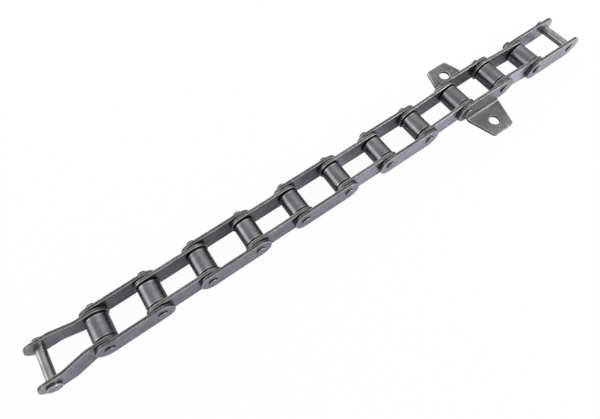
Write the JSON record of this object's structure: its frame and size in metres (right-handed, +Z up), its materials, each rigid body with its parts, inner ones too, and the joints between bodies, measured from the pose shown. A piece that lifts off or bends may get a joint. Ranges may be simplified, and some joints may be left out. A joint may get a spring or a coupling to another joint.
{
  "type": "conveyor chain",
  "caption": "Length of steel roller conveyor chain with flat side plates, a cranked end link, and an attachment link whose plates bend out into drilled lugs.",
  "frame": {"origin": "centre of the footprint, on the plane that the chain lies on", "axes": "+X along the chain from the cranked link towards the lug link, +Y along the pins, away from the heads, +Z up, out of the plane the chain lies on"},
  "size_m": [0.5158, 0.0856, 0.0231],
  "materials": {
    "outer_plate_steel": "mill-finished sheet, satin",
    "inner_plate_steel": "mill-finished sheet, slightly darker",
    "pin_steel": "ground and riveted, oiled",
    "bush_steel": "rolled, dark",
    "roller_steel": "rolled, oiled, faintly mottled"
  },
  "bodies": {
    "cranked_link": {"crank_plate_1_near": "outer_plate_steel", "crank_plate_1_far": "outer_plate_steel", "connecting_pin": "pin_steel", "bush_2": "bush_steel"},
    "outer_link_2": {"outer_plate_2_near": "outer_plate_steel", "outer_plate_2_far": "outer_plate_steel", "pin_2": "pin_steel", "pin_3": "pin_steel"},
    "inner_link_3": {"inner_plate_3_near": "inner_plate_steel", "inner_plate_3_far": "inner_plate_steel", "bush_3": "bush_steel", "bush_4": "bush_steel"},
    "outer_link_4": {"outer_plate_4_near": "outer_plate_steel", "outer_plate_4_far": "outer_plate_steel", "pin_4": "pin_steel", "pin_5": "pin_steel"},
    "inner_link_5": {"inner_plate_5_near": "inner_plate_steel", "inner_plate_5_far": "inner_plate_steel", "bush_5": "bush_steel", "bush_6": "bush_steel"},
    "outer_link_6": {"outer_plate_6_near": "outer_plate_steel", "outer_plate_6_far": "outer_plate_steel", "pin_6": "pin_steel", "pin_7": "pin_steel"},
    "inner_link_7": {"inner_plate_7_near": "inner_plate_steel", "inner_plate_7_far": "inner_plate_steel", "bush_7": "bush_steel", "bush_8": "bush_steel"},
    "outer_link_8": {"outer_plate_8_near": "outer_plate_steel", "outer_plate_8_far": "outer_plate_steel", "pin_8": "pin_steel", "pin_9": "pin_steel"},
    "inner_link_9": {"inner_plate_9_near": "inner_plate_steel", "inner_plate_9_far": "inner_plate_steel", "bush_9": "bush_steel", "bush_10": "bush_steel"},
    "lug_link": {"lug_plate_10_near": "outer_plate_steel", "lug_plate_10_far": "outer_plate_steel", "pin_10": "pin_steel", "pin_11": "pin_steel"},
    "inner_link_11": {"inner_plate_11_near": "inner_plate_steel", "inner_plate_11_far": "inner_plate_steel", "bush_11": "bush_steel", "bush_12": "bush_steel"},
    "outer_link_12": {"outer_plate_12_near": "outer_plate_steel", "outer_plate_12_far": "outer_plate_steel", "pin_12": "pin_steel", "pin_13": "pin_steel"},
    "roller_2": {"roller_2": "roller_steel"},
    "roller_3": {"roller_3": "roller_steel"},
    "roller_4": {"roller_4": "roller_steel"},
    "roller_5": {"roller_5": "roller_steel"},
    "roller_6": {"roller_6": "roller_steel"},
    "roller_7": {"roller_7": "roller_steel"},
    "roller_8": {"roller_8": "roller_steel"},
    "roller_9": {"roller_9": "roller_steel"},
    "roller_10": {"roller_10": "roller_steel"},
    "roller_11": {"roller_11": "roller_steel"},
    "roller_12": {"roller_12": "roller_steel"}
  },
  "joints": [
    {"name": "joint_10", "type": "hinge", "parent": "lug_link", "child": "inner_link_9", "pos_m": [0.1242, 0, 0.0134], "axis": [0, 1, 0], "range_deg": [-135, 135]},
    {"name": "joint_9", "type": "hinge", "parent": "inner_link_9", "child": "outer_link_8", "pos_m": [0.08297, 0, 0.0097], "axis": [0, -1, 0], "range_deg": [-140, 140]},
    {"name": "joint_8", "type": "hinge", "parent": "outer_link_8", "child": "inner_link_7", "pos_m": [0.04157, 0, 0.0097], "axis": [0, 1, 0], "range_deg": [-140, 140]},
    {"name": "joint_7", "type": "hinge", "parent": "inner_link_7", "child": "outer_link_6", "pos_m": [0.00017, 0, 0.0097], "axis": [0, -1, 0], "range_deg": [-140, 140]},
    {"name": "joint_6", "type": "hinge", "parent": "outer_link_6", "child": "inner_link_5", "pos_m": [-0.04123, 0, 0.0097], "axis": [0, 1, 0], "range_deg": [-140, 140]},
    {"name": "joint_5", "type": "hinge", "parent": "inner_link_5", "child": "outer_link_4", "pos_m": [-0.08263, 0, 0.0097], "axis": [0, -1, 0], "range_deg": [-140, 140]},
    {"name": "joint_4", "type": "hinge", "parent": "outer_link_4", "child": "inner_link_3", "pos_m": [-0.12403, 0, 0.0097], "axis": [0, 1, 0], "range_deg": [-140, 140]},
    {"name": "joint_3", "type": "hinge", "parent": "inner_link_3", "child": "outer_link_2", "pos_m": [-0.16543, 0, 0.0097], "axis": [0, -1, 0], "range_deg": [-140, 140]},
    {"name": "joint_2", "type": "hinge", "parent": "outer_link_2", "child": "cranked_link", "pos_m": [-0.20683, 0, 0.0097], "axis": [0, 1, 0], "range_deg": [-105, 105]},
    {"name": "joint_11", "type": "hinge", "parent": "lug_link", "child": "inner_link_11", "pos_m": [0.1656, 0, 0.0134], "axis": [0, 1, 0], "range_deg": [-135, 135]},
    {"name": "joint_12", "type": "hinge", "parent": "inner_link_11", "child": "outer_link_12", "pos_m": [0.20683, 0, 0.0097], "axis": [0, -1, 0], "range_deg": [-140, 140]},
    {"name": "roller_2_spin", "type": "hinge", "parent": "cranked_link", "child": "roller_2", "pos_m": [-0.20683, 0, 0.0097], "axis": [0, 1, 0], "continuous": true},
    {"name": "roller_3_spin", "type": "hinge", "parent": "inner_link_3", "child": "roller_3", "pos_m": [-0.16543, 0, 0.0097], "axis": [0, 1, 0], "continuous": true},
    {"name": "roller_4_spin", "type": "hinge", "parent": "inner_link_3", "child": "roller_4", "pos_m": [-0.12403, 0, 0.0097], "axis": [0, 1, 0], "continuous": true},
    {"name": "roller_5_spin", "type": "hinge", "parent": "inner_link_5", "child": "roller_5", "pos_m": [-0.08263, 0, 0.0097], "axis": [0, 1, 0], "continuous": true},
    {"name": "roller_6_spin", "type": "hinge", "parent": "inner_link_5", "child": "roller_6", "pos_m": [-0.04123, 0, 0.0097], "axis": [0, 1, 0], "continuous": true},
    {"name": "roller_7_spin", "type": "hinge", "parent": "inner_link_7", "child": "roller_7", "pos_m": [0.00017, 0, 0.0097], "axis": [0, 1, 0], "continuous": true},
    {"name": "roller_8_spin", "type": "hinge", "parent": "inner_link_7", "child": "roller_8", "pos_m": [0.04157, 0, 0.0097], "axis": [0, 1, 0], "continuous": true},
    {"name": "roller_9_spin", "type": "hinge", "parent": "inner_link_9", "child": "roller_9", "pos_m": [0.08297, 0, 0.0097], "axis": [0, 1, 0], "continuous": true},
    {"name": "roller_10_spin", "type": "hinge", "parent": "inner_link_9", "child": "roller_10", "pos_m": [0.1242, 0, 0.0134], "axis": [0, 1, 0], "continuous": true},
    {"name": "roller_11_spin", "type": "hinge", "parent": "inner_link_11", "child": "roller_11", "pos_m": [0.1656, 0, 0.0134], "axis": [0, 1, 0], "continuous": true},
    {"name": "roller_12_spin", "type": "hinge", "parent": "inner_link_11", "child": "roller_12", "pos_m": [0.20683, 0, 0.0097], "axis": [0, 1, 0], "continuous": true}
  ]
}
